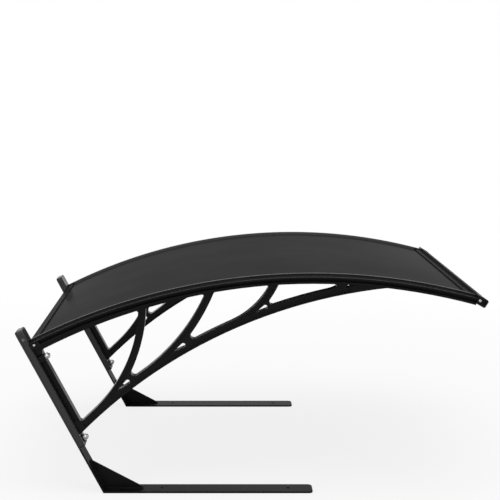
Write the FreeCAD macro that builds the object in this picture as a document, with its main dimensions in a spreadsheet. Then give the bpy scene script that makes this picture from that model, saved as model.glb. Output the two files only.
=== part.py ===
import FreeCAD, Part
import Sketcher
import os
from math import acos, atan2, cos, degrees, hypot, pi, radians, sin, sqrt
from FreeCAD import Placement, Rotation, Vector

# Robot mower garage: an arched roof sheet carried at its rear end by two leaning steel stands.
# Frame: +X to the free front end of the roof, +Y to the left, +Z up, floor at Z = 0,
# origin under the middle of the whole garage.

doc = FreeCAD.newDocument("MowerGarage")
dims = doc.addObject("Spreadsheet::Sheet", "Dims")

# Driving dimensions in millimetres and degrees
SIZES = [
    ("TotalWidth", 770),
    ("StripWidth", 50),
    ("StripThick", 4),
    ("FootLength", 471),
    ("ToeRound", 10),
    ("PegHole", 7),
    ("PegFromToe", 54),
    ("PegSpacing", 286),
    ("PostLength", 413),
    ("PostCorner", 8),
    ("PostLean", 27.64),
    ("GussetThick", 4),
    ("GussetRun", 89),
    ("GussetGap", 38),
    ("GussetTip", 3),
    ("BoltHole", 8.5),
    ("LowerBoltDrop", 284),
    ("UpperBoltDrop", 80.5),
    ("FlangeThick", 12),
    ("FlangeLength", 299),
    ("FlangeRound", 2.5),
    ("StrapWidth", 24),
    ("StrapDepth", 18),
    ("StrutDepth", 17),
    ("RimThick", 3.5),
    ("HoleRim", 6),
    ("RecessDepth", 4.5),
    ("RibHeight", 14.6),
    ("BossRadius", 10.5),
    ("LowBossHeight", 1.5),
    ("CrotchRound", 8),
    ("WindowRound", 4),
    ("HoleRound", 5),
    ("HoleTip", 1.25),
    ("Strut1Bearing", 133),
    ("Strut1Bend", 333),
    ("Strut1Hole", 34),
    ("Strut1Tilt", 3),
    ("Strut2Bearing", 125.8),
    ("Strut2Bend", 430),
    ("Strut2Hole", 28),
    ("Strut2Tilt", 3),
    ("Strut3Bearing", 114.2),
    ("Strut3Bend", 180),
    ("Strut3Hole", 28),
    ("Strut3Tilt", 10),
    ("Strut4Bearing", 102.7),
    ("Strut4Bend", 60),
    ("Strut4Hole", 25),
    ("Strut4Tilt", 24),
    ("RoofRadius", 1389),
    ("RoofRearDrop", 31),
    ("RoofStart", 26.97),
    ("RoofArc", 42.07),
    ("SheetThick", 3),
    ("SheetInset", 19),
    ("SealHeight", 5),
    ("SealWidth", 4),
    ("SealCrest", 1.5),
    ("RailWidth", 30),
    ("SlotPlay", 0.2),
    ("RailThick", 2.5),
    ("RailDrop", 20),
    ("CoverWidth", 30),
    ("CoverDrop", 6.5),
    ("CoverBead", 1.6),
    ("CoverRise", 2),
    ("CoverToe", 0.6),
    ("CoverShoulder", 6),
    ("SlopeInner", 18),
    ("SlopeInnerDrop", 1.6),
    ("SlopeOuter", 10),
    ("SlopeOuterDrop", 3.4),
    ("GrooveInset", 5),
    ("TopTurnRear", 20),
    ("TopTurnFront", 14),
    ("TopDepthRear", 17),
    ("TopDepthCrown", 11),
    ("TopDepthFront", 10),
    ("ChordRadius", 1122),
    ("ChordDrop", 271.6),
    ("ChordSlope", 45.77),
    ("CapLength", 22),
    ("CapDeep", 27),
    ("CapTall", 19),
    ("CapRise", 3.2),
    ("CapRound", 4),
    ("CapTilt", 15.6),
    ("BarInset", 30),
    ("FrontFlange", 19),
    ("NoseInset", 0.5),
    ("NoseStep", 1),
    ("BarWall", 2.2),
    ("LipThick", 1.6),
    ("SheetSetback", 6),
    ("RearBarWidth", 20),
    ("RearBarHeight", 16),
    ("RearJawSetback", 4),
    ("SkirtPlay", 0.5),
    ("ScrewHole", 4.2),
    ("FrontScrewAlong", 10),
    ("FrontPocketRound", 5.5),
    ("FrontPocketRun", 8.5),
    ("RearScrewAlong", 8.5),
    ("RearScrewDrop", 12.7),
    ("RearPocketRound", 4),
    ("RearPocketRun", 4.5),
    ("PocketDepth", 5),
]
for row, (alias, value) in enumerate(SIZES, start=1):
    dims.set("A%d" % row, alias)
    dims.set("B%d" % row, str(value))
    dims.setAlias("B%d" % row, alias)
doc.recompute()


def size(alias):
    return float(dims.get(alias))


def bind(feature, prop, expression):
    feature.setExpression(prop, expression)


# Plane geometry of the side view, in coordinates measured forwards and up from the heel

lean = radians(size("PostLean"))
strip_mid = (size("TotalWidth") - size("StripWidth")) / 2
flange_bottom = size("PostLength") - size("FlangeLength")
gusset_rise = flange_bottom - size("GussetGap")
lower_bolt = size("PostLength") - size("LowerBoltDrop")
upper_bolt = size("PostLength") - size("UpperBoltDrop")
chord_up = size("PostLength") - size("ChordDrop")
flange_front = size("StripThick") + size("FlangeThick")
flange_middle = size("StripThick") + size("FlangeThick") / 2
rib_front = flange_front + size("RibHeight")
groove_back = (size("StripWidth") - size("StrapWidth")) / 2
roof_rear_up = size("PostLength") - size("RoofRearDrop")
sheet_top = -size("SealHeight")
sheet_under = sheet_top - size("SheetThick")
rail_under = sheet_under - size("RailThick")
cover_under = sheet_under + size("CoverRise")
roof_start = -size("RoofStart")
roof_end = roof_start + size("RoofArc")


def from_post(out, up):
    """Side view point that lies this far in front of the post's back face and this far up it."""
    return (out * cos(lean) - up * sin(lean), out * sin(lean) + up * cos(lean))


def to_post(point):
    """The same point given as out and up along the post."""
    x, z = point
    return (x * cos(lean) + z * sin(lean), z * cos(lean) - x * sin(lean))


def on_circle(centre, radius, angle):
    """Point of a circle, the angle in degrees counted from +X towards +Z."""
    return (centre[0] + radius * cos(radians(angle)), centre[1] + radius * sin(radians(angle)))


def bearing(centre, point):
    """Angle in degrees at which a point is seen from a centre."""
    return degrees(atan2(point[1] - centre[1], point[0] - centre[0]))


def crossing(centre, radius, other, other_radius):
    """Where two circles cross, left of the way from the first centre to the second."""
    gap = hypot(other[0] - centre[0], other[1] - centre[1])
    turn = degrees(acos((gap ** 2 + radius ** 2 - other_radius ** 2) / (2 * gap * radius)))
    return on_circle(centre, radius, bearing(centre, other) + turn)


rear_gap = size("RailDrop") * sin(radians(size("PostLean") - size("RoofStart")))
roof_foot = from_post(flange_front + rear_gap, roof_rear_up)
roof_centre = on_circle(roof_foot, size("RoofRadius"), size("RoofStart") - 90)
chord_foot = from_post(flange_front, chord_up)
chord_centre = on_circle(chord_foot, size("ChordRadius"), size("ChordSlope") - 90)

# The front cap is a block tilted to the arch's end; its nose is the front end of the garage

front_angle = 90 - roof_end


def roof_point(along, rise, angle):
    """Point at an end of the arch: so far forwards along its tangent and above the roof line."""
    base = on_circle(roof_centre, size("RoofRadius") + rise, angle)
    return (base[0] + along * sin(radians(angle)), base[1] - along * cos(radians(angle)))


tilt = front_angle - size("CapTilt")
cap_corner = roof_point(0, size("CapRise"), front_angle)
nose_run = size("CapDeep") - size("CapRound")
nose = (cap_corner[0] + nose_run * sin(radians(tilt)) - size("CapRound") * cos(radians(tilt)),
        cap_corner[1] - nose_run * cos(radians(tilt)) - size("CapRound") * sin(radians(tilt)))
front_reach = nose[0] + size("CapRound")
rear_reach = from_post(0, size("PostLength"))[0]
heel_x = -(front_reach + rear_reach) / 2


# Helpers that draw a body's features

touch = 0.1


def new_body(name):
    body = doc.addObject("PartDesign::Body", name)
    body.Label = name
    return body


def stand(body, point, across, turn):
    """Put a body at a side view point, turned about the cross direction."""
    place = Vector(heel_x + point[0], across, point[1])
    body.Placement = Placement(place, Rotation(Vector(0, 1, 0), turn))


def new_sketch(body, name, role, offset=0):
    sketch = body.newObject("Sketcher::SketchObject", name)
    plane = [item for item in body.Origin.OriginFeatures if item.Role == role][0]
    sketch.AttachmentSupport = [(plane, "")]
    sketch.MapMode = "FlatFace"
    sketch.AttachmentOffset = Placement(Vector(0, 0, offset), Rotation())
    return sketch


def polygon(sketch, points):
    """Closed outline of straight edges through the points."""
    corners = [Vector(x, y, 0) for x, y in points]
    for start, end in zip(corners, corners[1:] + corners[:1]):
        sketch.addGeometry(Part.LineSegment(start, end), False)


def ring(sketch, centre, inner, outer, start, end):
    """Closed outline of a curved strap between two radii and two angles in degrees."""
    axis = Vector(0, 0, 1)
    middle = Vector(centre[0], centre[1], 0)
    for radius in (inner, outer):
        circle = Part.Circle(middle, axis, radius)
        sketch.addGeometry(Part.ArcOfCircle(circle, radians(start), radians(end)), False)
    for angle in (start, end):
        near = Vector(*on_circle(centre, inner, angle), 0)
        far = Vector(*on_circle(centre, outer, angle), 0)
        sketch.addGeometry(Part.LineSegment(near, far), False)


def teardrop(sketch, first, second, first_radius, second_radius):
    """Closed outline of two circles and the straight lines that touch both."""
    way = radians(bearing(first, second))
    gap = hypot(second[0] - first[0], second[1] - first[1])
    turn = acos((first_radius - second_radius) / gap)
    ends = [(first, first_radius, way + turn, way - turn + 2 * pi),
            (second, second_radius, way - turn, way + turn)]
    for centre, radius, start, end in ends:
        circle = Part.Circle(Vector(centre[0], centre[1], 0), Vector(0, 0, 1), radius)
        sketch.addGeometry(Part.ArcOfCircle(circle, start, end), False)
    for angle in (way + turn, way - turn):
        near = on_circle(first, first_radius, degrees(angle))
        far = on_circle(second, second_radius, degrees(angle))
        sketch.addGeometry(Part.LineSegment(Vector(*near, 0), Vector(*far, 0)), False)


def pad(body, sketch, width):
    feature = body.newObject("PartDesign::Pad", sketch.Name + "Pad")
    feature.Profile = sketch
    feature.SideType = "Symmetric"
    bind(feature, "Length", width)
    sketch.Visibility = False
    return feature


def cut_through(body, sketch):
    feature = body.newObject("PartDesign::Pocket", sketch.Name + "Cut")
    feature.Profile = sketch
    feature.SideType = "Symmetric"
    feature.Type = "ThroughAll"
    return feature


def cut_depth(body, sketch, depth, reverse):
    feature = body.newObject("PartDesign::Pocket", sketch.Name + "Cut")
    feature.Profile = sketch
    feature.Reversed = reverse
    bind(feature, "Length", depth)
    return feature


def round_edges(body, name, radius, chosen):
    """Fillet the edges whose bounding boxes are chosen."""
    doc.recompute()
    base = body.Tip
    edges = ["Edge%d" % number for number, edge in enumerate(base.Shape.Edges, start=1)
             if chosen(edge.BoundBox)]
    feature = body.newObject("PartDesign::Fillet", name)
    feature.Base = (base, edges)
    bind(feature, "Radius", radius)


def holes(body, name, role, centres, diameter):
    sketch = new_sketch(body, name, role)
    for x, y in centres:
        circle = Part.Circle(Vector(x, y, 0), Vector(0, 0, 1), size(diameter) / 2)
        index = sketch.addGeometry(circle, False)
        number = sketch.addConstraint(Sketcher.Constraint("Diameter", index, size(diameter)))
        bind(sketch, "Constraints[%d]" % number, "Dims." + diameter)
    return cut_through(body, sketch)


def revolve(body, section, start=0, stop=0):
    """Sweep a section, given across and above the roof line, along the arch, short of its ends."""
    begin = roof_start + degrees(start / size("RoofRadius"))
    finish = roof_end - degrees(stop / size("RoofRadius"))
    sketch = new_sketch(body, body.Name + "Section", "YZ_Plane")
    polygon(sketch, [(across, size("RoofRadius") + rise) for across, rise in section])
    feature = body.newObject("PartDesign::Revolution", body.Name + "Arch")
    feature.Profile = sketch
    feature.ReferenceAxis = (sketch, ["H_Axis"])
    feature.Midplane = True
    bind(feature, "Angle", "Dims.RoofArc - %s" % degrees((start + stop) / size("RoofRadius")))
    stand(body, roof_centre, 0, (begin + finish) / 2)


# Steel stands: foot strip, leaning post strip and gusset

def make_foot(name, side):
    body = new_body(name)
    thick = size("StripThick")
    lap = -thick * sin(lean) / cos(lean)
    sketch = new_sketch(body, name + "Side", "XZ_Plane")
    polygon(sketch, [(0, 0), (size("FootLength"), 0), (size("FootLength"), thick), (lap, thick)])
    pad(body, sketch, "Dims.StripWidth")
    doc.recompute()
    front = size("FootLength") - size("PegFromToe")
    holes(body, name + "Pegs", "XY_Plane", [(front, 0), (front - size("PegSpacing"), 0)], "PegHole")
    doc.recompute()
    round_edges(body, name + "Toe", "Dims.ToeRound", lambda box: box.XMin > size("FootLength") - touch
                and box.ZLength > thick - touch)
    stand(body, (0, 0), side * strip_mid, 0)
    return body


def make_post(name, side):
    body = new_body(name)
    thick = size("StripThick")
    back_foot = thick / cos(lean)
    front_foot = (thick - thick * sin(lean)) / cos(lean)
    sketch = new_sketch(body, name + "Side", "XZ_Plane")
    polygon(sketch, [(0, back_foot), (thick, front_foot),
                     (thick, size("PostLength")), (0, size("PostLength"))])
    pad(body, sketch, "Dims.StripWidth")
    doc.recompute()
    holes(body, name + "Bolts", "YZ_Plane",
          [(0, lower_bolt), (0, upper_bolt)], "BoltHole")
    round_edges(body, name + "Top", "Dims.PostCorner",
                lambda box: box.ZMin > size("PostLength") - touch and box.YLength < touch)
    stand(body, (0, 0), side * strip_mid, -size("PostLean"))
    return body


def make_gusset(name, side):
    body = new_body(name)
    thick = size("StripThick")
    tip = size("GussetTip")
    inner_up = (thick - thick * sin(lean)) / cos(lean)
    inner = from_post(thick, inner_up)
    top = from_post(thick, gusset_rise)
    top_tip = from_post(thick + tip, gusset_rise)
    sketch = new_sketch(body, name + "Side", "XZ_Plane")
    polygon(sketch, [inner, (size("GussetRun"), thick), (size("GussetRun"), thick + tip),
                     top_tip, top])
    pad(body, sketch, "Dims.GussetThick")
    stand(body, (0, 0), side * strip_mid, 0)
    return body


# Moulded bracket: flange on the post, rib, top chord under the roof, bowed lower chord and struts

def under_arc():
    """Lower edge of the top chord, a circle through its three depths."""
    places = [(-size("TopTurnRear"), "TopDepthRear"), (0, "TopDepthCrown"),
              (size("TopTurnFront"), "TopDepthFront")]
    points = []
    for angle, depth in places:
        x, y = on_circle(roof_centre, size("RoofRadius") + rail_under - size(depth), 90 - angle)
        points.append(Vector(x, y, 0))
    circle = Part.Arc(*points).toShape().Curve
    return (circle.Center.x, circle.Center.y), circle.Radius


def post_angle(angle):
    """A bearing of the side view as seen in the leaning frame of the post."""
    return angle - size("PostLean")


def strap(body, name, centre, inner, outer, start, end):
    sketch = new_sketch(body, name, "XZ_Plane")
    ring(sketch, to_post(centre), inner, outer, post_angle(start), post_angle(end))
    pad(body, sketch, "Dims.StrapWidth")


def recess(body, name, draw):
    """Sink the same outline into both side faces of the straps."""
    for face, offset in (("Right", size("StrapWidth") / 2), ("Left", -size("StrapWidth") / 2)):
        sketch = new_sketch(body, name + face, "XZ_Plane", offset)
        draw(sketch)
        cut_depth(body, sketch, "Dims.RecessDepth", offset < 0)


def on_post_line(centre, radius, out):
    """Where a circle's upper side crosses a line that runs up the post so far in front of it."""
    middle = to_post(centre)
    return from_post(out, middle[1] + sqrt(radius ** 2 - (out - middle[0]) ** 2))


def round_corners(body, name, radius, corners):
    """Fillet the cross edges that lie at the side view points."""
    spots = [to_post(corner) for corner in corners]
    round_edges(body, name, radius, lambda box: box.YLength > size("StrapWidth") - touch and any(
        hypot(box.Center.x - spot[0], box.Center.z - spot[1]) < touch for spot in spots))


def make_bracket(name, side):
    body = new_body(name)
    depth = size("StrapDepth")
    thick = size("StrutDepth")
    chord = size("ChordRadius")
    crown = chord + depth
    roof_under = size("RoofRadius") + rail_under
    low_centre, low_radius = under_arc()
    chord_start = bearing(chord_centre, from_post(flange_middle, chord_up + size("FlangeThick") / 2))
    strap(body, name + "Chord", chord_centre, chord, crown, 90, chord_start)
    struts = []
    for number in range(1, 5):
        label = "Strut%d" % number
        bend = size(label + "Bend")
        centre = on_circle(chord_centre, crown + bend, size(label + "Bearing"))
        meet = crossing(centre, bend + thick / 2, roof_centre, roof_under)
        finish = bearing(centre, meet) + degrees(thick / bend)
        root = size(label + "Bearing") - 180
        strap(body, name + label, centre, bend, bend + thick, root, finish)
        struts.append((label, centre, bend, root))

    # Top chord between the rail's leg and its own lower arc
    sketch = new_sketch(body, name + "Top", "XZ_Plane")
    rear = 90 - roof_start + degrees(size("FlangeThick") / 2 / roof_under)
    front = 90 - roof_end
    outer = Part.Circle(Vector(*to_post(roof_centre), 0), Vector(0, 0, 1), roof_under)
    inner = Part.Circle(Vector(*to_post(low_centre), 0), Vector(0, 0, 1), low_radius)
    rear_top = on_circle(roof_centre, roof_under, rear)
    front_top = on_circle(roof_centre, roof_under, front)
    rear_low = on_circle(low_centre, low_radius, bearing(low_centre, rear_top))
    front_low = on_circle(low_centre, low_radius, bearing(low_centre, front_top))
    sketch.addGeometry(Part.ArcOfCircle(outer, radians(post_angle(front)), radians(post_angle(rear))))
    sketch.addGeometry(Part.ArcOfCircle(
        inner, radians(post_angle(bearing(low_centre, front_low))),
        radians(post_angle(bearing(low_centre, rear_low)))))
    for high, low in ((rear_top, rear_low), (front_top, front_low)):
        sketch.addGeometry(Part.LineSegment(Vector(*to_post(high), 0), Vector(*to_post(low), 0)))
    pad(body, sketch, "Dims.StrapWidth")

    # Rib up the flange, from the lower chord to the top chord
    rib = new_sketch(body, name + "Rib", "XZ_Plane")
    rib_foot = chord_up + depth / 2
    rib_head = roof_rear_up + rail_under - size("TopDepthRear") / 2
    polygon(rib, [(flange_middle, rib_foot), (rib_front, rib_foot),
                  (rib_front, rib_head), (flange_middle, rib_head)])
    pad(body, rib, "Dims.StrapWidth")
    trim = new_sketch(body, name + "RoofTrim", "XZ_Plane")
    beyond = degrees(size("StripWidth") / roof_under)
    ring(trim, to_post(roof_centre), roof_under, roof_under + 5 * thick,
         post_angle(front - beyond), post_angle(rear + beyond))
    cut_through(body, trim)

    # Web that fills the narrow gap ahead of the last strut
    crotches = [crossing(centre, bend + thick, chord_centre, crown) for _, centre, bend, _ in struts]
    _, centre, bend, _ = struts[-1]
    overlap = thick / 4
    web_rear = bearing(low_centre, crossing(centre, bend + thick, low_centre, low_radius))
    web_front = bearing(low_centre, crossing(low_centre, low_radius, chord_centre, crown))
    margin = degrees(overlap / low_radius)
    strap(body, name + "Web", low_centre, low_radius - overlap, low_radius + overlap,
          web_front - margin, web_rear + margin)

    # Rounded corners of the windows: crotches above the struts' roots, then the rest
    round_corners(body, name + "Crotches", "Dims.CrotchRound", crotches[:-1])
    rib_top = on_post_line(low_centre, low_radius, rib_front)
    round_corners(body, name + "RibHead", "Dims.CrotchRound", [rib_top])
    rib_low = on_post_line(chord_centre, crown, rib_front)
    corners = [crossing(centre, reach, low_centre, low_radius)
               for _, centre, bend, _ in struts for reach in (bend, bend + thick)]
    round_corners(body, name + "Windows", "Dims.WindowRound", corners + [rib_low])

    # Teardrop holes where the struts part from the lower chord
    for (label, centre, bend, _), crotch in zip(struts, crotches):
        way = bearing(chord_centre, crotch) - 90 + size(label + "Tilt")
        half = size(label + "Hole") / 2
        tip = on_circle(crotch, half - size("HoleTip"), way + 180)
        end = on_circle(crotch, half - size("HoleRound"), way)
        sketch = new_sketch(body, name + label + "Hole", "XZ_Plane")
        teardrop(sketch, to_post(tip), to_post(end), size("HoleTip"), size("HoleRound"))
        cut_through(body, sketch)

    # Recesses that leave rims along the lower chord, the long struts and the rib
    rim = size("RimThick")
    last = bearing(chord_centre, crotches[-1])
    recess(body, name + "ChordRecess", lambda sketch: ring(
        sketch, to_post(chord_centre), chord + rim, crown - size("HoleRim"),
        post_angle(last), post_angle(bearing(chord_centre, rib_low))))
    for label, centre, bend, root in struts[:-1]:
        head = min(bearing(centre, crossing(centre, reach, low_centre, low_radius))
                   for reach in (bend, bend + thick)) - degrees(size("WindowRound") / bend)
        recess(body, name + label + "Recess", lambda sketch: ring(
            sketch, to_post(centre), bend + rim, bend + thick - size("HoleRim"),
            post_angle(root), post_angle(head)))
    sill = to_post(rib_low)[1] + size("CrotchRound")
    lintel = to_post(rib_top)[1] - size("CrotchRound")
    recess(body, name + "RibRecess", lambda sketch: polygon(
        sketch, [(flange_front, sill), (rib_front - rim, sill),
                 (rib_front - rim, lintel), (flange_front, lintel)]))

    # Round bosses for the two bolts
    for label, up, reach in (("LowBoss", lower_bolt, "Dims.LowBossHeight"),
                             ("HighBoss", upper_bolt, "Dims.RibHeight")):
        boss = new_sketch(body, name + label, "YZ_Plane", flange_front)
        circle = Part.Circle(Vector(0, up, 0), Vector(0, 0, 1), size("BossRadius"))
        boss.addGeometry(circle, False)
        feature = body.newObject("PartDesign::Pad", name + label + "Pad")
        feature.Profile = boss
        bind(feature, "Length", reach)

    # Flange on the post, its corners and its front edges rounded
    flange = new_sketch(body, name + "Flange", "XZ_Plane")
    ends = (flange_bottom, size("PostLength"))
    polygon(flange, [(size("StripThick"), ends[0]), (flange_front, ends[0]),
                     (flange_front, ends[1]), (size("StripThick"), ends[1])])
    pad(body, flange, "Dims.StripWidth")
    edge = size("StripWidth") / 2 - touch
    round_edges(body, name + "FlangeCorners", "Dims.PostCorner", lambda box: box.YLength < touch
                and box.ZLength < touch and min(abs(box.ZMin - end) for end in ends) < touch)
    round_edges(body, name + "FlangeFront", "Dims.FlangeRound", lambda box: box.XLength < touch
                and abs(box.XMin - flange_front) < touch and max(box.YMax, -box.YMin) > edge)
    doc.recompute()
    holes(body, name + "Bolts", "YZ_Plane",
          [(0, lower_bolt), (0, upper_bolt)], "BoltHole")
    stand(body, (0, 0), side * strip_mid, -size("PostLean"))
    return body


# Roof: sheet, grooved side rails, clamping covers and seals

def make_sheet(name):
    body = new_body(name)
    half = size("TotalWidth") / 2 - size("SheetInset")
    section = [(-half, sheet_under), (half, sheet_under), (half, sheet_top), (-half, sheet_top)]
    revolve(body, section, size("SheetSetback") + size("SlotPlay"), size("SlotPlay"))


def side_section(side, points):
    """Section given inwards from the garage's outer face, mirrored to its side."""
    return [(side * (size("TotalWidth") / 2 - inward), rise) for inward, rise in points]


def make_rail(name, side):
    """Rail with an open groove in its outer face; its flat leg lies between chord and sheet."""
    body = new_body(name)
    wall = size("RailThick")
    lip = size("LipThick")
    play = size("SlotPlay")
    bottom = -size("RailDrop")
    sheet_edge = size("SheetInset") - play
    shoulder = size("CoverShoulder")
    points = [(size("RailWidth"), sheet_under), (sheet_edge, sheet_under), (sheet_edge, sheet_top - play),
              (shoulder, cover_under - play), (size("GrooveInset"), sheet_under - play),
              (size("GrooveInset"), rail_under), (groove_back - wall, rail_under),
              (groove_back - wall, bottom + wall), (lip, bottom + wall), (lip, bottom + 2 * wall),
              (0, bottom + 2 * wall), (0, bottom), (groove_back, bottom), (groove_back, rail_under),
              (size("RailWidth"), rail_under)]
    revolve(body, side_section(side, points))
    notch = new_sketch(body, name + "Notch", "XZ_Plane", -side * size("TotalWidth") / 2)
    reach = degrees((size("CapLength") + 3 * play) / size("RoofRadius"))
    back = 90 + size("RoofArc") / 2
    ring(notch, (0, 0), size("RoofRadius") + bottom - wall, size("RoofRadius") + sheet_under - play / 2,
         back - reach, back + reach)
    cut_depth(body, notch, "(Dims.StripWidth - Dims.StrapWidth) / 2", side > 0)


def make_cover(name, side):
    """Cover with a bead along both edges and a slope between, over the sheet and round its edge."""
    body = new_body(name)
    bead = size("CoverBead")
    width = size("CoverWidth")
    drop = -size("CoverDrop")
    wall = size("RailThick")
    points = [(width, sheet_top), (width, -bead / 2), (width - bead / 2, 0), (width - 2 * bead, 0),
              (width - 3 * bead, -bead / 2), (size("SlopeInner"), -size("SlopeInnerDrop")),
              (size("SlopeOuter"), -size("SlopeOuterDrop")), (2 * bead, drop + bead / 4),
              (1.5 * bead, drop + bead), (bead / 2, drop + bead), (0, drop + bead / 2),
              (0, sheet_under), (wall, sheet_under), (wall, sheet_under + size("CoverToe")),
              (size("CoverShoulder"), cover_under), (size("SheetInset") - size("SheetThick"), sheet_top)]
    revolve(body, side_section(side, points))


def make_seal(name, side):
    body = new_body(name)
    start = size("CoverWidth")
    end = start + size("SealWidth")
    points = [(start, sheet_top), (start, 0), (start + size("SealCrest"), 0), (end, sheet_top)]
    revolve(body, side_section(side, points), size("RearBarWidth"), size("FrontFlange"))


# Cross bars and corner caps, their outlines given along the tangent and above the roof line

def end_sketch(body, label, outline, offset=0):
    sketch = new_sketch(body, body.Name + label, "XZ_Plane", offset)
    polygon(sketch, [(along, size("RoofRadius") + rise) for along, rise in outline])
    return sketch


def make_rear_bar(name):
    """Bar with a slot that takes the sheet's rear edge and a skirt between the brackets."""
    body = new_body(name)
    wide = size("RearBarWidth")
    wall = size("BarWall")
    seat = size("SheetSetback")
    high = sheet_top + size("SlotPlay")
    under = sheet_under - size("SlotPlay")
    low = -size("RearBarHeight")
    jaw = wide - size("RearJawSetback")
    section = [(0, under - wall), (0, high + wall), (wide, high + wall), (wide, high),
               (seat, high), (seat, under), (jaw, under), (jaw, under - wall)]
    pad(body, end_sketch(body, "Section", section), "Dims.TotalWidth - 2 * Dims.BarInset")
    skirt = [(0, low), (0, under - wall), (wall, under - wall), (wall, low)]
    pad(body, end_sketch(body, "Skirt", skirt),
        "Dims.TotalWidth - Dims.StripWidth - Dims.StrapWidth - 2 * Dims.SkirtPlay")
    stand(body, roof_centre, 0, roof_start)


def in_cap(reach, drop):
    """Point of the tilted front end, given forwards from its top rear corner and down."""
    turn = radians(size("CapTilt"))
    return (reach * cos(turn) - drop * sin(turn), size("CapRise") - reach * sin(turn) - drop * cos(turn))


def front_outline(inset):
    """Outline of the tilted front end, the cap's own or one that lies inside it."""
    turn = radians(size("CapTilt"))
    reach = size("CapDeep") - inset
    top_front, low_front = [in_cap(reach, drop) for drop in (inset, size("CapTall") - inset)]
    fall = sin(turn) / cos(turn)
    top_back = (0, top_front[1] + top_front[0] * fall)
    low_back = (0, low_front[1] + low_front[0] * fall)
    return top_back, top_front, low_front, low_back


def make_front_bar(name):
    """Bar with a flange over the sheet's front edge and a hollow, tilted nose."""
    body = new_body(name)
    wall = size("BarWall")
    high = sheet_top + size("SlotPlay")
    under = sheet_under - size("SlotPlay")
    flange = -size("FrontFlange")
    step = -size("NoseStep")
    top_back, top_front, low_front, low_back = front_outline(size("NoseInset"))
    section = [(0, high), (flange, high), (flange, high + wall), (step, high + wall), top_back,
               top_front, low_front, low_back, (0, under - wall), (flange / 2, under - wall),
               (flange / 2, under), (0, under)]
    sketch = end_sketch(body, "Section", section)
    chamber = [(max(x, wall), z) for x, z in front_outline(size("NoseInset") + wall)]
    polygon(sketch, [(x, size("RoofRadius") + z) for x, z in chamber])
    pad(body, sketch, "Dims.TotalWidth - 2 * Dims.BarInset")
    round_edges(body, name + "Nose", "Dims.CapRound - Dims.NoseInset",
                lambda box: box.YLength > size("CapLength") and box.XMin > size("CapDeep") / 2)
    stand(body, roof_centre, 0, roof_end)


def screw_pocket(body, side, screw, end, radius):
    """Long pocket in the outer face with a screw hole at one end of it."""
    edge = -side * size("TotalWidth") / 2
    screw, end = [(along, size("RoofRadius") + rise) for along, rise in (screw, end)]
    pocket = new_sketch(body, body.Name + "Pocket", "XZ_Plane", edge)
    teardrop(pocket, screw, end, radius, radius)
    cut_depth(body, pocket, "Dims.PocketDepth", side > 0)
    doc.recompute()
    holes(body, body.Name + "Screw", "XZ_Plane", [screw], "ScrewHole")


def make_front_cap(name, side):
    body = new_body(name)
    width = size("BarInset")
    middle = side * (size("TotalWidth") - width) / 2
    sketch = end_sketch(body, "Outline", front_outline(0), -middle)
    pad(body, sketch, "Dims.BarInset")
    round_edges(body, name + "Nose", "Dims.CapRound",
                lambda box: box.YLength > size("CapLength") and box.XMin > size("CapDeep") / 2)
    middle_drop = size("CapTall") / 2
    screw = in_cap(size("FrontScrewAlong"), middle_drop)
    end = in_cap(size("FrontScrewAlong") + size("FrontPocketRun"), middle_drop)
    screw_pocket(body, side, screw, end, size("FrontPocketRound"))
    stand(body, roof_centre, 0, roof_end)


def make_rear_cap(name, side):
    body = new_body(name)
    middle = side * (size("TotalWidth") - groove_back) / 2
    top = sheet_under - 2 * size("SlotPlay")
    outline = [(0, -size("RailDrop")), (size("CapLength"), -size("RailDrop")),
               (size("CapLength"), top), (0, top)]
    sketch = end_sketch(body, "Outline", outline, -middle)
    pad(body, sketch, "(Dims.StripWidth - Dims.StrapWidth) / 2")
    screw = (size("RearScrewAlong"), -size("RearScrewDrop"))
    end = (size("RearScrewAlong") + size("RearPocketRun"), -size("RearScrewDrop"))
    screw_pocket(body, side, screw, end, size("RearPocketRound"))
    stand(body, roof_centre, 0, roof_start)


for side_name, side in (("right", -1), ("left", 1)):
    make_foot("foot_" + side_name, side)
    make_post("post_" + side_name, side)
    make_gusset("gusset_" + side_name, side)
    make_bracket("bracket_" + side_name, side)
    make_rail("side_rail_" + side_name, side)
    make_cover("side_cover_" + side_name, side)
    make_seal("side_seal_" + side_name, side)
    make_front_cap("corner_cap_front_" + side_name, side)
    make_rear_cap("corner_cap_rear_" + side_name, side)
make_sheet("roof_sheet")
make_rear_bar("rear_rail")
make_front_bar("front_rail")

doc.recompute()
faults = [item.Name for item in doc.Objects if "Invalid" in item.State or "Error" in item.State]
bodies = [item for item in doc.Objects if item.TypeId == "PartDesign::Body"]
faults += [body.Label for body in bodies if body.Shape.isNull() or not body.Shape.isValid()]
if faults:
    raise SystemExit("failed: " + ", ".join(faults))

os.makedirs("parts", exist_ok=True)
for body in bodies:
    body.Shape.exportStep(os.path.join("parts", body.Label + ".step"))
    print(body.Label, round(body.Shape.Volume), len(body.Shape.Solids), body.Shape.BoundBox)
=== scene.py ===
"""Looks of an open garage for a robot mower: an arched dark sheet on two leaning steel stands."""

import math

import bmesh
import bpy
from mathutils import Matrix, Vector


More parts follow.
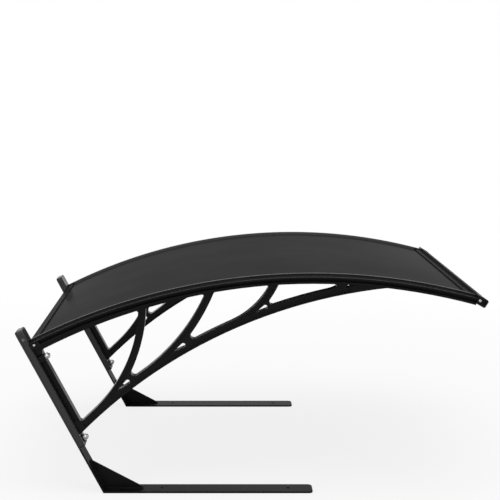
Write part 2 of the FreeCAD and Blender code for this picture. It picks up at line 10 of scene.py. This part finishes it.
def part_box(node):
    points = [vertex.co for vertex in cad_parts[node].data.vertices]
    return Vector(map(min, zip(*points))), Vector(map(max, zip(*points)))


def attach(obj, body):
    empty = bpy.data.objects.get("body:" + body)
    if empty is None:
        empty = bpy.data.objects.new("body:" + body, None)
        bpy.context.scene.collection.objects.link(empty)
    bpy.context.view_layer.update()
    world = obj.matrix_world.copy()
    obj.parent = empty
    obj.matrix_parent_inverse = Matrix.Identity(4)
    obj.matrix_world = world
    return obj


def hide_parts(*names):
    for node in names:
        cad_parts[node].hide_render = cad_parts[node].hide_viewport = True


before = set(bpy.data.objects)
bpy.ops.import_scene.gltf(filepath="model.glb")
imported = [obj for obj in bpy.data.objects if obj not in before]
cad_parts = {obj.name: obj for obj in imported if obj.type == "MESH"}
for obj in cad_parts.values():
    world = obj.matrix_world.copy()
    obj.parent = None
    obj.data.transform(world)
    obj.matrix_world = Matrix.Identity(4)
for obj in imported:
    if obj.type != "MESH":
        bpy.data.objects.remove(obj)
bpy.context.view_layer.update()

mm = 0.001

# Places that the solids give: across the garage, out from the post's back and up the post

sides = (("right", -1), ("left", 1))
outer_face = 385 * mm
stand_middle = 360 * mm
strip_half = 25 * mm
strip = 4 * mm
lean = math.radians(27.64)
heel_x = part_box("foot_right")[0][0] + strip * math.tan(lean)
flange_front = 16 * mm
low_boss = 1.5 * mm
rib_front = 30.6 * mm
lower_bolt_up = 129 * mm
upper_bolt_up = 332.5 * mm
roof_foot_up = 382 * mm
roof_gap = 0.23 * mm
roof_radius = 1389 * mm
rear_angle = math.radians(-26.97)
front_angle = math.radians(15.1)


def on_post(out, up, across):
    """Point so far in front of the post's back face and up it, in the frame of the garage."""
    x = heel_x + out * math.cos(lean) - up * math.sin(lean)
    z = out * math.sin(lean) + up * math.cos(lean)
    return Vector((x, across, z))


forward = Vector((math.cos(lean), 0, math.sin(lean)))
roof_foot = on_post(flange_front + roof_gap, roof_foot_up, 0)
roof_centre = roof_foot - roof_radius * Vector((math.sin(rear_angle), 0, math.cos(rear_angle)))


def at_roof_end(angle, along, rise, across):
    """Point at an end of the arch, so far forwards along its tangent and above the roof line."""
    tangent = Vector((math.cos(angle), 0, -math.sin(angle)))
    upward = Vector((math.sin(angle), 0, math.cos(angle)))
    return roof_centre + along * tangent + (roof_radius + rise) * upward + Vector((0, across, 0))


# Small helpers for shaping and finishing

def nothing_selected():
    bpy.ops.object.select_all(action="DESELECT")


def edit(piece, mode="FACE"):
    """Open a piece for shaping with nothing selected and hand back its mesh."""
    bpy.context.view_layer.objects.active = piece
    bpy.ops.object.mode_set(mode="EDIT")
    bpy.ops.mesh.select_mode(type=mode)
    bpy.ops.mesh.select_all(action="DESELECT")
    return bmesh.from_edit_mesh(piece.data)


def pick(piece, mesh, chosen):
    """Select the faces whose middle and normal are chosen."""
    for face in mesh.faces:
        face.select_set(bool(chosen(face.calc_center_median(), face.normal)))
    bmesh.update_edit_mesh(piece.data)


def close(piece, angle=30):
    """Leave edit mode with the normals outwards and soft shading up to an angle."""
    bpy.ops.mesh.select_all(action="SELECT")
    bpy.ops.mesh.normals_make_consistent(inside=False)
    bpy.ops.object.mode_set(mode="OBJECT")
    nothing_selected()
    piece.select_set(True)
    bpy.ops.object.shade_smooth_by_angle(angle=math.radians(angle))
    nothing_selected()


def finish(piece, kind, **settings):
    """Add a modifier with its settings and apply it."""
    nothing_selected()
    piece.select_set(True)
    bpy.context.view_layer.objects.active = piece
    modifier = piece.modifiers.new(kind.title(), kind)
    for name, value in settings.items():
        setattr(modifier, name, value)
    bpy.ops.object.modifier_apply(modifier=modifier.name)
    nothing_selected()


def draw_outline(name, points):
    """Flat closed face whose edge is drawn from one vertex through the points in turn."""
    nothing_selected()
    bpy.ops.mesh.primitive_plane_add(size=mm)
    piece = bpy.context.object
    piece.name = name
    edit(piece, "VERT")
    bpy.ops.mesh.select_all(action="SELECT")
    bpy.ops.mesh.merge(type="CENTER")
    bpy.ops.transform.translate(value=points[0])
    for start, end in zip(points, points[1:]):
        bpy.ops.mesh.extrude_region_move(TRANSFORM_OT_translate={"value": end - start})
    bpy.ops.mesh.select_all(action="SELECT")
    bpy.ops.mesh.edge_face_add()
    return piece


def dress(piece, material):
    """Give a new piece its material and the body it moves with."""
    piece.data.materials.clear()
    piece.data.materials.append(material)
    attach(piece, "root")


def lay_along(piece, point, axis):
    """Take the mesh of a piece modelled along +Z at the origin to a point, its +Z along an axis."""
    turn = Vector((0, 0, 1)).rotation_difference(axis).to_matrix().to_4x4()
    piece.data.transform(Matrix.Translation(point) @ turn)


def place_copy(model, name, point, axis):
    """Copy a modelled piece, with a mesh of its own, to a point along an axis."""
    piece = model.copy()
    piece.data = model.data.copy()
    piece.name = name
    bpy.context.collection.objects.link(piece)
    lay_along(piece, point, axis)
    return piece


# Materials

def colour(code):
    """A hex sRGB colour as the linear one that the shader takes."""
    parts = [int(code[i:i + 2], 16) / 255 for i in (1, 3, 5)]
    return [c / 12.92 if c <= 0.04045 else ((c + 0.055) / 1.055) ** 2.4 for c in parts] + [1.0]


def add(tree, kind, sockets, stops=(), **settings):
    """Add a node, set it, place a ramp's stops, and fill its sockets with values or with other
    nodes' outputs."""
    made = tree.nodes.new(kind)
    for name, value in settings.items():
        setattr(made, name, value)
    for number, (position, code) in enumerate(stops):
        made.color_ramp.elements[number].position = position
        made.color_ramp.elements[number].color = colour(code)
    for name, value in sockets.items():
        if isinstance(value, bpy.types.NodeSocket):
            tree.links.new(value, made.inputs[name])
        else:
            made.inputs[name].default_value = value
    return made


def new_material(name, **settings):
    """A material with its shader's own values set; hands back its tree and shader as well."""
    material = bpy.data.materials.new(name)
    material.use_nodes = True
    tree = material.node_tree
    shader = tree.nodes["Principled BSDF"]
    for socket, value in settings.items():
        shader.inputs[socket.replace("_", " ")].default_value = value
    return material, tree, shader


def powder_coat(name, code, roughness):
    """Steel under a matt black polyester powder, sprayed and baked: its fine orange peel breaks
    up the highlights, and the colour is all but even."""
    material, tree, shader = new_material(name, IOR=1.5, Specular_IOR_Level=0.08)
    place = add(tree, "ShaderNodeTexCoord", {}).outputs["Object"]
    # The peel's waves are about 1.2 mm wide, the powder's grain 0.3 mm, shifts of tone 90 mm
    peel = add(tree, "ShaderNodeTexNoise", {"Vector": place, "Scale": 1 / (1.2 * mm), "Detail": 2.0})
    grain = add(tree, "ShaderNodeTexNoise", {"Vector": place, "Scale": 1 / (0.3 * mm), "Detail": 1.0})
    cloud = add(tree, "ShaderNodeTexNoise", {"Vector": place, "Scale": 1 / (90 * mm), "Detail": 3.0})
    tint = add(tree, "ShaderNodeValToRGB", {"Fac": cloud.outputs["Fac"]},
               stops=((0.3, code[0]), (0.7, code[1])))
    tree.links.new(tint.outputs["Color"], shader.inputs["Base Color"])
    spread = 0.06
    gloss_range = add(tree, "ShaderNodeMapRange", {"Value": peel.outputs["Fac"],
                                                   "To Min": roughness - spread,
                                                   "To Max": roughness + spread})
    tree.links.new(gloss_range.outputs["Result"], shader.inputs["Roughness"])
    # The coat rounds every edge off to 0.8 mm
    edge = add(tree, "ShaderNodeBevel", {"Radius": 0.8 * mm}, samples=6)
    fine = add(tree, "ShaderNodeBump", {"Height": grain.outputs["Fac"], "Strength": 0.25,
                                        "Distance": 0.03 * mm, "Normal": edge.outputs["Normal"]})
    bump = add(tree, "ShaderNodeBump", {"Height": peel.outputs["Fac"], "Strength": 0.35,
                                        "Distance": 0.08 * mm, "Normal": fine.outputs["Normal"]})
    tree.links.new(bump.outputs["Normal"], shader.inputs["Normal"])
    return material


def moulded_nylon(name, code, roughness, flange_painted_light_code=None):
    """Glass filled nylon, moulded: a spark eroded grain with a low sheen, and glass streaks that
    shift the gloss a little from place to place. The wide flange is painted a lighter grey than
    the straps: a painted highlight for the light on its side faces."""
    material, tree, shader = new_material(name, IOR=1.53, Specular_IOR_Level=0.12)
    place = add(tree, "ShaderNodeTexCoord", {}).outputs["Object"]
    # Grain of the mould 0.5 mm, drawn as coarse as it needs to be to show; streaks 25 mm long
    grain = add(tree, "ShaderNodeTexVoronoi", {"Vector": place, "Scale": 1 / (0.5 * mm)})
    stretched = add(tree, "ShaderNodeMapping", {"Vector": place, "Scale": (1.0, 3.0, 2.0)})
    streak = add(tree, "ShaderNodeTexNoise", {"Vector": stretched.outputs["Vector"],
                                              "Scale": 1 / (25 * mm), "Detail": 3.0})
    tint = add(tree, "ShaderNodeValToRGB", {"Fac": streak.outputs["Fac"]},
               stops=((0.3, code[0]), (0.7, code[1])))
    tree.links.new(tint.outputs["Color"], shader.inputs["Base Color"])
    if flange_painted_light_code:
        # The straps are 24 mm wide, and what lies past 13 to 16 mm from their middle is flange,
        # which gets a lighter grey: a painted highlight for the light on the flange's side faces
        parts = add(tree, "ShaderNodeSeparateXYZ", {"Vector": place})
        side = add(tree, "ShaderNodeMath", {0: parts.outputs["Y"]}, operation="ABSOLUTE")
        off = add(tree, "ShaderNodeMath", {0: side.outputs["Value"], 1: stand_middle},
                  operation="SUBTRACT")
        far = add(tree, "ShaderNodeMath", {0: off.outputs["Value"]}, operation="ABSOLUTE")
        share = add(tree, "ShaderNodeMapRange", {"Value": far.outputs["Value"],
                                                 "From Min": 13 * mm, "From Max": 16 * mm})
        blend = add(tree, "ShaderNodeMix", {"Factor": share.outputs["Result"]}, data_type="RGBA")
        tree.links.new(tint.outputs["Color"], blend.inputs["A"])
        blend.inputs["B"].default_value = colour(flange_painted_light_code)
        tree.links.new(blend.outputs["Result"], shader.inputs["Base Color"])
    spread = 0.08
    gloss_range = add(tree, "ShaderNodeMapRange", {"Value": streak.outputs["Fac"],
                                                   "To Min": roughness - spread,
                                                   "To Max": roughness + spread})
    tree.links.new(gloss_range.outputs["Result"], shader.inputs["Roughness"])
    # The mould's own edges are rounded to 1.1 mm
    edge = add(tree, "ShaderNodeBevel", {"Radius": 1.1 * mm}, samples=6)
    bump = add(tree, "ShaderNodeBump", {"Height": grain.outputs["Distance"], "Strength": 0.25,
                                        "Distance": 0.05 * mm, "Normal": edge.outputs["Normal"]})
    tree.links.new(bump.outputs["Normal"], shader.inputs["Normal"])
    return material


def drawn_profile(name, code, roughness, gloss, arched):
    """A profile pressed through a die: satin, with faint lines along its length, round the
    roof's centre on the arched rails and straight across on the bars."""
    material, tree, shader = new_material(name, IOR=1.5, Specular_IOR_Level=gloss)
    place = add(tree, "ShaderNodeTexCoord", {}).outputs["Object"]
    shifted = add(tree, "ShaderNodeMapping", {"Vector": place, "Location": -roof_centre})
    parts = add(tree, "ShaderNodeSeparateXYZ", {"Vector": shifted.outputs["Vector"]})
    flat = add(tree, "ShaderNodeCombineXYZ", {"X": parts.outputs["X"], "Z": parts.outputs["Z"]})
    if arched:
        reach = add(tree, "ShaderNodeVectorMath", {0: flat.outputs["Vector"]}, operation="LENGTH")
        across = add(tree, "ShaderNodeCombineXYZ", {"X": reach.outputs["Value"],
                                                    "Y": parts.outputs["Y"]})
    else:
        across = flat
    # Die lines 0.7 mm apart, shifts of tone 60 mm long
    lines = add(tree, "ShaderNodeTexNoise", {"Vector": across.outputs["Vector"],
                                             "Scale": 1 / (0.7 * mm), "Detail": 1.0})
    cloud = add(tree, "ShaderNodeTexNoise", {"Vector": place, "Scale": 1 / (60 * mm), "Detail": 3.0})
    tint = add(tree, "ShaderNodeValToRGB", {"Fac": cloud.outputs["Fac"]},
               stops=((0.3, code[0]), (0.7, code[1])))
    tree.links.new(tint.outputs["Color"], shader.inputs["Base Color"])
    spread = 0.05
    gloss_range = add(tree, "ShaderNodeMapRange", {"Value": lines.outputs["Fac"],
                                                   "To Min": roughness - spread,
                                                   "To Max": roughness + spread})
    tree.links.new(gloss_range.outputs["Result"], shader.inputs["Roughness"])
    # The die rounds the edges to 0.7 mm
    edge = add(tree, "ShaderNodeBevel", {"Radius": 0.7 * mm}, samples=6)
    bump = add(tree, "ShaderNodeBump", {"Height": lines.outputs["Fac"], "Strength": 0.2,
                                        "Distance": 0.03 * mm, "Normal": edge.outputs["Normal"]})
    tree.links.new(bump.outputs["Normal"], shader.inputs["Normal"])
    return material


def tinted_polycarbonate(name, code, roughness):
    """Solid polycarbonate sheet, dark grey and opaque: smooth, with the slow waves of the
    rollers and a haze of dust that dulls the gloss in places."""
    # The low view over the roof would mirror the white room, so its gloss is set close to nothing
    material, tree, shader = new_material(name, IOR=1.58, Specular_IOR_Level=0.00012)
    place = add(tree, "ShaderNodeTexCoord", {}).outputs["Object"]
    # Waves of the rollers 140 mm long, haze in clouds of 200 mm, dust 0.8 mm
    wave = add(tree, "ShaderNodeTexNoise", {"Vector": place, "Scale": 1 / (140 * mm), "Detail": 1.0})
    haze = add(tree, "ShaderNodeTexNoise", {"Vector": place, "Scale": 1 / (200 * mm), "Detail": 4.0})
    dust = add(tree, "ShaderNodeTexNoise", {"Vector": place, "Scale": 1 / (0.8 * mm), "Detail": 2.0})
    tint = add(tree, "ShaderNodeValToRGB", {"Fac": haze.outputs["Fac"]},
               stops=((0.25, code[0]), (0.75, code[1])))
    tree.links.new(tint.outputs["Color"], shader.inputs["Base Color"])
    clean, dusty = roughness - 0.05, roughness + 0.1
    gloss_range = add(tree, "ShaderNodeMapRange", {"Value": haze.outputs["Fac"],
                                                   "To Min": clean, "To Max": dusty})
    tree.links.new(gloss_range.outputs["Result"], shader.inputs["Roughness"])
    fine = add(tree, "ShaderNodeBump", {"Height": dust.outputs["Fac"], "Strength": 0.1,
                                        "Distance": 0.02 * mm})
    bump = add(tree, "ShaderNodeBump", {"Height": wave.outputs["Fac"], "Strength": 0.3,
                                        "Distance": 0.6 * mm, "Normal": fine.outputs["Normal"]})
    tree.links.new(bump.outputs["Normal"], shader.inputs["Normal"])
    return material


def seal_rubber(name, code):
    """EPDM rubber: dull, a little chalky, with a fine grain."""
    material, tree, shader = new_material(name, IOR=1.5, Roughness=0.7)
    place = add(tree, "ShaderNodeTexCoord", {}).outputs["Object"]
    # Grain 0.6 mm
    grain = add(tree, "ShaderNodeTexNoise", {"Vector": place, "Scale": 1 / (0.6 * mm), "Detail": 2.0})
    tint = add(tree, "ShaderNodeValToRGB", {"Fac": grain.outputs["Fac"]},
               stops=((0, code[0]), (1, code[1])))
    tree.links.new(tint.outputs["Color"], shader.inputs["Base Color"])
    bump = add(tree, "ShaderNodeBump", {"Height": grain.outputs["Fac"], "Strength": 0.3,
                                        "Distance": 0.05 * mm})
    tree.links.new(bump.outputs["Normal"], shader.inputs["Normal"])
    return material


def bright_zinc(name):
    """Steel fasteners under bright zinc: silvery with a faint grey cast, and duller patches where
    the plating is thin."""
    material, tree, shader = new_material(name, Metallic=1.0)
    place = add(tree, "ShaderNodeTexCoord", {}).outputs["Object"]
    # Patches of the plating 3 mm wide
    patch = add(tree, "ShaderNodeTexNoise", {"Vector": place, "Scale": 1 / (3 * mm), "Detail": 4.0})
    tint = add(tree, "ShaderNodeValToRGB", {"Fac": patch.outputs["Fac"]},
               stops=((0.35, "#B8BCC2"), (0.65, "#DDDFE2")))
    tree.links.new(tint.outputs["Color"], shader.inputs["Base Color"])
    bright, dull = 0.22, 0.38
    gloss_range = add(tree, "ShaderNodeMapRange", {"Value": patch.outputs["Fac"],
                                                   "To Min": bright, "To Max": dull})
    tree.links.new(gloss_range.outputs["Result"], shader.inputs["Roughness"])
    bump = add(tree, "ShaderNodeBump", {"Height": patch.outputs["Fac"], "Strength": 0.15,
                                        "Distance": 0.05 * mm})
    tree.links.new(bump.outputs["Normal"], shader.inputs["Normal"])
    return material


coated_steel = powder_coat("matt_black_powder_coat", ("#0C0C0D", "#131314"), 0.45)
# The bracket's flange grey #39393A is painted light: a lighter tone for the light on its side faces
bracket_nylon = moulded_nylon("black_glass_filled_nylon", ("#080809", "#0F0F10"), 0.25, "#39393A")
cap_nylon = moulded_nylon("black_cap_nylon", ("#0B0B0C", "#131314"), 0.3)
# The grey of the small dome on each flange's side is a painted highlight, lighter than the black
# nylon round it
plug_painted_highlight = moulded_nylon("grey_nylon_plug", ("#5C5C5D", "#6C6C6D"), 0.4)
rail_plastic = drawn_profile("black_extruded_plastic", ("#0E0E0F", "#151516"), 0.3, 0.08, True)
bar_aluminium = drawn_profile("black_coated_aluminium", ("#161617", "#1D1D1E"), 0.35, 0.002, False)
roof_sheet = tinted_polycarbonate("dark_grey_polycarbonate", ("#2C2C2D", "#343435"), 0.1)
rubber = seal_rubber("black_epdm_rubber", ("#141415", "#1D1D1E"))
zinc = bright_zinc("bright_zinc_plated_steel")

finishes = {
    "foot": coated_steel,
    "post": coated_steel,
    "gusset": coated_steel,
    "bracket": bracket_nylon,
    "side_rail": rail_plastic,
    "side_cover": rail_plastic,
    "side_seal": rubber,
    "corner_cap": cap_nylon,
    "roof_sheet": roof_sheet,
    "front_rail": bar_aluminium,
    "rear_rail": bar_aluminium,
}
for name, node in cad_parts.items():
    kind = next(start for start in finishes if name.startswith(start))
    for slot in node.material_slots:
        slot.material = finishes[kind]
    if not node.material_slots:
        node.data.materials.append(finishes[kind])


# Fasteners, plugs and bosses, each modelled once along +Z at the origin

washer_thick = 1.6 * mm


def model_nut():
    """M8 hexagon nut, 13 mm across its flats, its corners taken off by a bevel."""
    nothing_selected()
    height = 6.1 * mm
    dome = 0.25 * mm
    corner = 13 * mm / math.sqrt(3)
    bpy.ops.mesh.primitive_cylinder_add(vertices=6, radius=corner, depth=height,
                                        location=(0, 0, height / 2))
    piece = bpy.context.object
    piece.name = "nut_model"
    bpy.ops.object.transform_apply(location=True)
    mesh = edit(piece)
    pick(piece, mesh, lambda middle, normal: normal.z > 0.9)
    bpy.ops.mesh.inset(thickness=0.9 * mm)
    bpy.ops.transform.translate(value=(0, 0, dome))
    bpy.ops.mesh.inset(thickness=1.6 * mm)
    bpy.ops.transform.translate(value=(0, 0, dome / 2))
    close(piece)
    finish(piece, "BEVEL", width=0.5 * mm, segments=2, limit_method="ANGLE")
    return piece


def model_washer():
    """Plain washer for M8: 16 mm wide, 1.6 mm thick, with a hole for the bolt."""
    nothing_selected()
    bpy.ops.mesh.primitive_circle_add(vertices=48, radius=8 * mm, fill_type="NGON")
    piece = bpy.context.object
    piece.name = "washer_model"
    mesh = edit(piece)
    pick(piece, mesh, lambda middle, normal: True)
    bpy.ops.mesh.inset(thickness=3.9 * mm)
    bpy.ops.mesh.delete(type="FACE")
    bpy.ops.mesh.select_all(action="SELECT")
    bpy.ops.mesh.extrude_region_move(TRANSFORM_OT_translate={"value": (0, 0, washer_thick)})
    close(piece)
    finish(piece, "BEVEL", width=0.25 * mm, segments=2, limit_method="ANGLE")
    return piece


def model_bolt_end():
    """Threaded end of an M8 bolt that stands out of its nut: two rings of thread and a tip."""
    nothing_selected()
    thread_pitch = 1.25 * mm
    thread_turns = 2
    bpy.ops.mesh.primitive_cylinder_add(vertices=32, radius=3.4 * mm, depth=0.4 * mm,
                                        location=(0, 0, 0.2 * mm))
    piece = bpy.context.object
    piece.name = "bolt_end_model"
    bpy.ops.object.transform_apply(location=True)
    mesh = edit(piece)
    pick(piece, mesh, lambda middle, normal: normal.z > 0.9)
    for grow in (1.16, 1 / 1.16) * thread_turns:
        bpy.ops.mesh.extrude_region_move(
            TRANSFORM_OT_translate={"value": (0, 0, thread_pitch / 2)})
        bpy.ops.transform.resize(value=(grow, grow, 1))
    bpy.ops.mesh.extrude_region_move(TRANSFORM_OT_translate={"value": (0, 0, 0.4 * mm)})
    bpy.ops.transform.resize(value=(0.8, 0.8, 1))
    close(piece, 50)
    return piece


def model_screw():
    """Pan head screw with a tapered recess, its head 8 mm wide and 2.75 mm high."""
    nothing_selected()
    bpy.ops.mesh.primitive_cylinder_add(vertices=32, radius=4 * mm, depth=1.2 * mm,
                                        location=(0, 0, 0.6 * mm))
    piece = bpy.context.object
    piece.name = "screw_model"
    bpy.ops.object.transform_apply(location=True)
    mesh = edit(piece)
    pick(piece, mesh, lambda middle, normal: normal.z > 0.9)
    for rise, shrink in ((0.8, 0.9), (0.5, 0.8), (0.25, 0.7)):
        bpy.ops.mesh.extrude_region_move(TRANSFORM_OT_translate={"value": (0, 0, rise * mm)})
        bpy.ops.transform.resize(value=(shrink, shrink, 1))
    bpy.ops.mesh.inset(thickness=0.9 * mm)
    bpy.ops.mesh.extrude_region_move(TRANSFORM_OT_translate={"value": (0, 0, -1.2 * mm)})
    bpy.ops.transform.resize(value=(0.5, 0.5, 1))
    close(piece, 40)
    return piece


def model_disc(name, sides, radius, steps, smooth=60):
    """Round plug or boss: a disc raised in steps, each a rise in mm and a share of the width."""
    nothing_selected()
    bpy.ops.mesh.primitive_circle_add(vertices=sides, radius=radius, fill_type="NGON")
    piece = bpy.context.object
    piece.name = name
    mesh = edit(piece)
    pick(piece, mesh, lambda middle, normal: True)
    for rise, shrink in steps:
        bpy.ops.mesh.extrude_region_move(TRANSFORM_OT_translate={"value": (0, 0, rise * mm)})
        bpy.ops.transform.resize(value=(shrink, shrink, 1))
    close(piece, smooth)
    return piece


nut_model = model_nut()
washer_model = model_washer()
end_model = model_bolt_end()
root_model = model_disc("bolt_root_model", 40, 4.2 * mm,
                        ((0.25, 1.0), (0.15, 0.93), (0.075, 0.8), (0.025, 0.5)))
screw_model = model_screw()
plug_model = model_disc("plug_model", 40, 3.6 * mm,
                        ((0.5, 1.0), (0.3, 0.93), (0.15, 0.8), (0.05, 0.5)))
boss_model = model_disc("boss_model", 56, 13.2 * mm,
                        ((12.8, 0.95), (0.9, 0.97), (0.5, 0.93), (0.2, 0.9)), 50)

nut_stack = washer_thick + 6.3 * mm
pocket_floor = outer_face - 5 * mm
plug_out = 10 * mm
plug_up = 391 * mm
sunk = 0.1 * mm
boss_root = flange_front - mm
# Each bolt's height up the post and the place of its washer, out from the post's back
bolts = (("low", lower_bolt_up, flange_front + low_boss), ("high", upper_bolt_up, rib_front))
# Each corner screw's end of the arch, its place forwards along the arch and above the roof line
screws = (("front", front_angle, 7.08 * mm, -8.64 * mm), ("rear", rear_angle, 8.5 * mm, -12.7 * mm))
for side_name, side in sides:
    across = side * stand_middle
    outward = Vector((0, side, 0))
    for place, up, front in bolts:
        tag = "%s_%s" % (place, side_name)
        stack = (
            (washer_model, "washer_", front),
            (nut_model, "nut_", front + washer_thick),
            (end_model, "stud_tip_", front + nut_stack),
        )
        for model, name, out in stack:
            dress(place_copy(model, name + tag, on_post(out, up, across), forward), zinc)
        dress(place_copy(root_model, "stud_root_" + tag, on_post(sunk, up, across), -forward),
              coated_steel)
    for place, angle, along, rise in screws:
        point = at_roof_end(angle, along, rise, side * pocket_floor)
        dress(place_copy(screw_model, "screw_%s_%s" % (place, side_name), point, outward),
              zinc)
    # A small grey dome on each flange's side, its grey a painted highlight
    spot = on_post(plug_out, plug_up, side * (outer_face - sunk))
    dress(place_copy(plug_model, "flange_plug_" + side_name, spot, outward), plug_painted_highlight)

for side_name, side in sides:
    seat = on_post(boss_root, upper_bolt_up, side * stand_middle)
    dress(place_copy(boss_model, "bolt_boss_" + side_name, seat, forward), bracket_nylon)

for model in (nut_model, washer_model, end_model, root_model, screw_model, plug_model, boss_model):
    bpy.data.objects.remove(model)


# Thin lips of the flange that lap over both edges of the steel strip, given out and up in mm

lip_corners = ((0.3, 114), (4, 114), (4, 413), (2.2, 413), (0.8, 412.2), (0.3, 410.5))
lip_thick = 0.5 * mm
for side_name, side in sides:
    for lip_name, lip_side in (("outer", side), ("inner", -side)):
        start = side * stand_middle + lip_side * strip_half
        corners = [on_post(out * mm, up * mm, start) for out, up in lip_corners]
        lip = draw_outline("flange_lip_%s_%s" % (lip_name, side_name), corners)
        bpy.ops.mesh.extrude_region_move(
            TRANSFORM_OT_translate={"value": (0, lip_side * lip_thick, 0)})
        close(lip)
        finish(lip, "BEVEL", width=0.2 * mm, segments=2, limit_method="ANGLE")
        dress(lip, bracket_nylon)


# Clamping covers of the side rails, pressed through a die and bent to the arch

cover_steps = 110
# Flat ridge, steep step, trough and round bead, in mm inwards from the outer face and above the
# roof line
cover_section = (
    (30, -5), (30, -0.6), (29.6, -0.2), (28.8, 0), (23.4, 0), (22.4, -0.2), (21.8, -0.8),
    (20.8, -3.9), (20.2, -4.4), (19.2, -4.6), (4.6, -5.5), (3.6, -5.3), (2.8, -4.9), (1.8, -4.75),
    (0.8, -5.0), (0.2, -5.6), (0, -6.4), (0, -8), (2.5, -8), (2.5, -7.4), (6, -6), (16, -5),
)
for side_name, side in sides:
    outline = [at_roof_end(front_angle, 0, rise * mm, side * (outer_face - inward * mm))
               for inward, rise in cover_section]
    cover = draw_outline("clamping_cover_" + side_name, outline)
    bpy.ops.mesh.spin(steps=cover_steps, angle=front_angle - rear_angle, center=roof_centre,
                      axis=(0, 1, 0))
    close(cover, 25)
    dress(cover, rail_plastic)
    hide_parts("side_cover_" + side_name)


# Weld beads in the corners between each gusset and its stand

ripple_length = 2.2 * mm
ripple_swell = 1.12
weld_radius = 2.1 * mm
weld_off = 2.6 * mm
# Both ends of a bead, in mm from the heel: up the post, and forwards along the foot
post_run = (6, 75)
foot_run = (4, 88)


def weld_bead(name, start, end):
    """Fillet of overlapping weld ripples from one point to another, painted with the stand."""
    nothing_selected()
    run = end - start
    ripples = int(run.length / ripple_length)
    bpy.ops.mesh.primitive_circle_add(vertices=10, radius=weld_radius, fill_type="NGON")
    piece = bpy.context.object
    piece.name = name
    mesh = edit(piece)
    pick(piece, mesh, lambda middle, normal: True)
    for ripple in range(ripples):
        swell = ripple_swell if ripple % 2 else 1 / ripple_swell
        bpy.ops.mesh.extrude_region_move(
            TRANSFORM_OT_translate={"value": (0, 0, run.length / ripples)})
        bpy.ops.transform.resize(value=(swell, swell, 1))
    close(piece, 60)
    lay_along(piece, start, run)
    dress(piece, coated_steel)


# Both stands' beads are named as on the right stand, where the outer one is the one at -Y
for side_name, side in sides:
    for face_name, face in (("outer", -weld_off), ("inner", weld_off)):
        across = side * stand_middle + face
        tag = "%s_%s" % (face_name, side_name)
        weld_bead("weld_post_" + tag, *[on_post(strip, up * mm, across) for up in post_run])
        weld_bead("weld_foot_" + tag, *[Vector((heel_x + along * mm, across, strip))
                                        for along in foot_run])


# Floor, white background, soft studio lights

nothing_selected()
bpy.ops.mesh.primitive_plane_add(size=14, location=(0, 0, 0))
floor = bpy.context.object
floor.name = "pale_floor"
pale, tree, shader = new_material("pale_studio_floor", Base_Color=colour("#F2F2F2"), Roughness=0.9,
                                  Specular_IOR_Level=0.1)
place = add(tree, "ShaderNodeTexCoord", {}).outputs["Object"]
far = add(tree, "ShaderNodeVectorMath", {0: place}, operation="LENGTH").outputs["Value"]
# Shadows show round the garage and fade to pure white 2.2 m from its middle
fade = add(tree, "ShaderNodeMapRange", {"Value": far, "From Min": 0.6, "From Max": 2.2,
                                        "To Min": 0.82, "To Max": 1.0})
seen = add(tree, "ShaderNodeLightPath", {}).outputs["Is Camera Ray"]
share = add(tree, "ShaderNodeMath", {0: fade.outputs["Result"], 1: seen}, operation="MULTIPLY")
white = add(tree, "ShaderNodeEmission", {"Color": (1, 1, 1, 1), "Strength": 1.0})
blend = add(tree, "ShaderNodeMixShader", {"Fac": share.outputs["Value"],
                                          1: shader.outputs["BSDF"], 2: white.outputs["Emission"]})
tree.links.new(blend.outputs["Shader"], tree.nodes["Material Output"].inputs["Surface"])
floor.data.materials.append(pale)

world = bpy.data.worlds.new("studio")
bpy.context.scene.world = world
world.use_nodes = True
tree = world.node_tree
path = add(tree, "ShaderNodeLightPath", {})
seen = add(tree, "ShaderNodeMath", {0: path.outputs["Is Camera Ray"],
                                    1: path.outputs["Is Glossy Ray"]}, operation="MAXIMUM")
seen = add(tree, "ShaderNodeMath", {0: seen.outputs["Value"],
                                    1: path.outputs["Is Transmission Ray"]}, operation="MAXIMUM")
# White where it is seen, also in gloss and through glass, and dimmer where it only lights
strength = add(tree, "ShaderNodeMapRange", {"Value": seen.outputs["Value"], "To Min": 0.55,
                                            "To Max": 1.0})
ground = tree.nodes["Background"]
ground.inputs["Color"].default_value = (1, 1, 1, 1)
tree.links.new(strength.outputs["Result"], ground.inputs["Strength"])


def soft_light(name, place, aim, width, watts):
    """Square softbox that looks at a point."""
    nothing_selected()
    bpy.ops.object.light_add(type="AREA", location=place)
    lamp = bpy.context.object
    lamp.name = name
    lamp.data.shape = "SQUARE"
    lamp.data.size = width
    lamp.data.energy = watts
    toward = Vector(aim) - Vector(place)
    lamp.rotation_euler = toward.to_track_quat("-Z", "Y").to_euler()


soft_light("softbox_overhead", (0.2, -0.4, 2.6), (0, 0, 0.2), 2.2, 32)
soft_light("softbox_left_front", (-2.4, -2.2, 1.6), (0, 0, 0.2), 1.4, 14)


# Camera at the photograph's viewing angle, its lens and shift worked out from pixels of its frame

frame_pixels = 500
focal_pixels = 1205.6
centre_pixel = 212.1
sensor = 36
degrees_down = 8.129
camera_place = (-0.0857, -2.9889, 0.9240)
nothing_selected()
bpy.ops.object.camera_add(location=camera_place, rotation=(math.radians(90 - degrees_down), 0, 0))
camera = bpy.context.object
camera.data.sensor_width = sensor
camera.data.lens = focal_pixels / frame_pixels * sensor
camera.data.shift_x = (frame_pixels / 2 - centre_pixel) / frame_pixels
bpy.context.scene.camera = camera
bpy.context.scene.view_settings.view_transform = "Standard"
